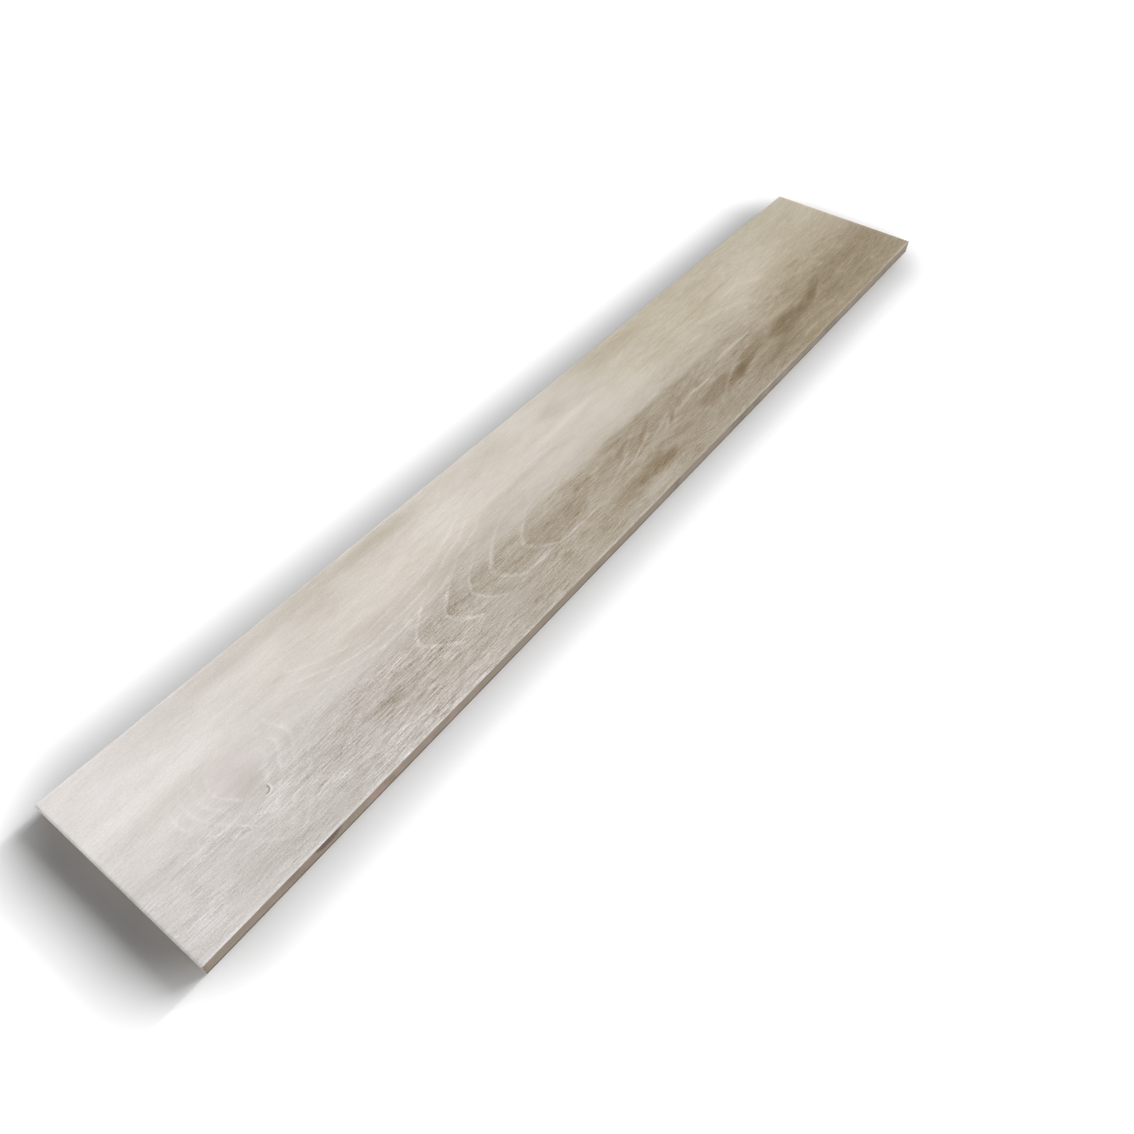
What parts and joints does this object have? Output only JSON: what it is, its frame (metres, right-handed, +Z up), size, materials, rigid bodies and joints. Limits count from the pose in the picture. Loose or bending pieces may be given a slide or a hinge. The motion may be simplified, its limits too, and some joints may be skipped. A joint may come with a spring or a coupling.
{
  "type": "wood look porcelain plank tile",
  "caption": "Long narrow pressed porcelain tile with a pale greige wood-grain face, pillowed edges and a keyed back, bonded flat as a floor or wall plank.",
  "frame": {"origin": "centre of the back, on the plane that the ribs of the keyed back rest on", "axes": "+X along the plank, towards the end away from the camera; +Y across it; +Z up, out of the printed face"},
  "size_m": [0.9, 0.15, 0.012],
  "materials": {
    "printed_porcelain": "satin matt glaze printed with pale greige wood grain"
  },
  "bodies": {
    "root": {"plank_tile": "printed_porcelain"}
  },
  "joints": []
}
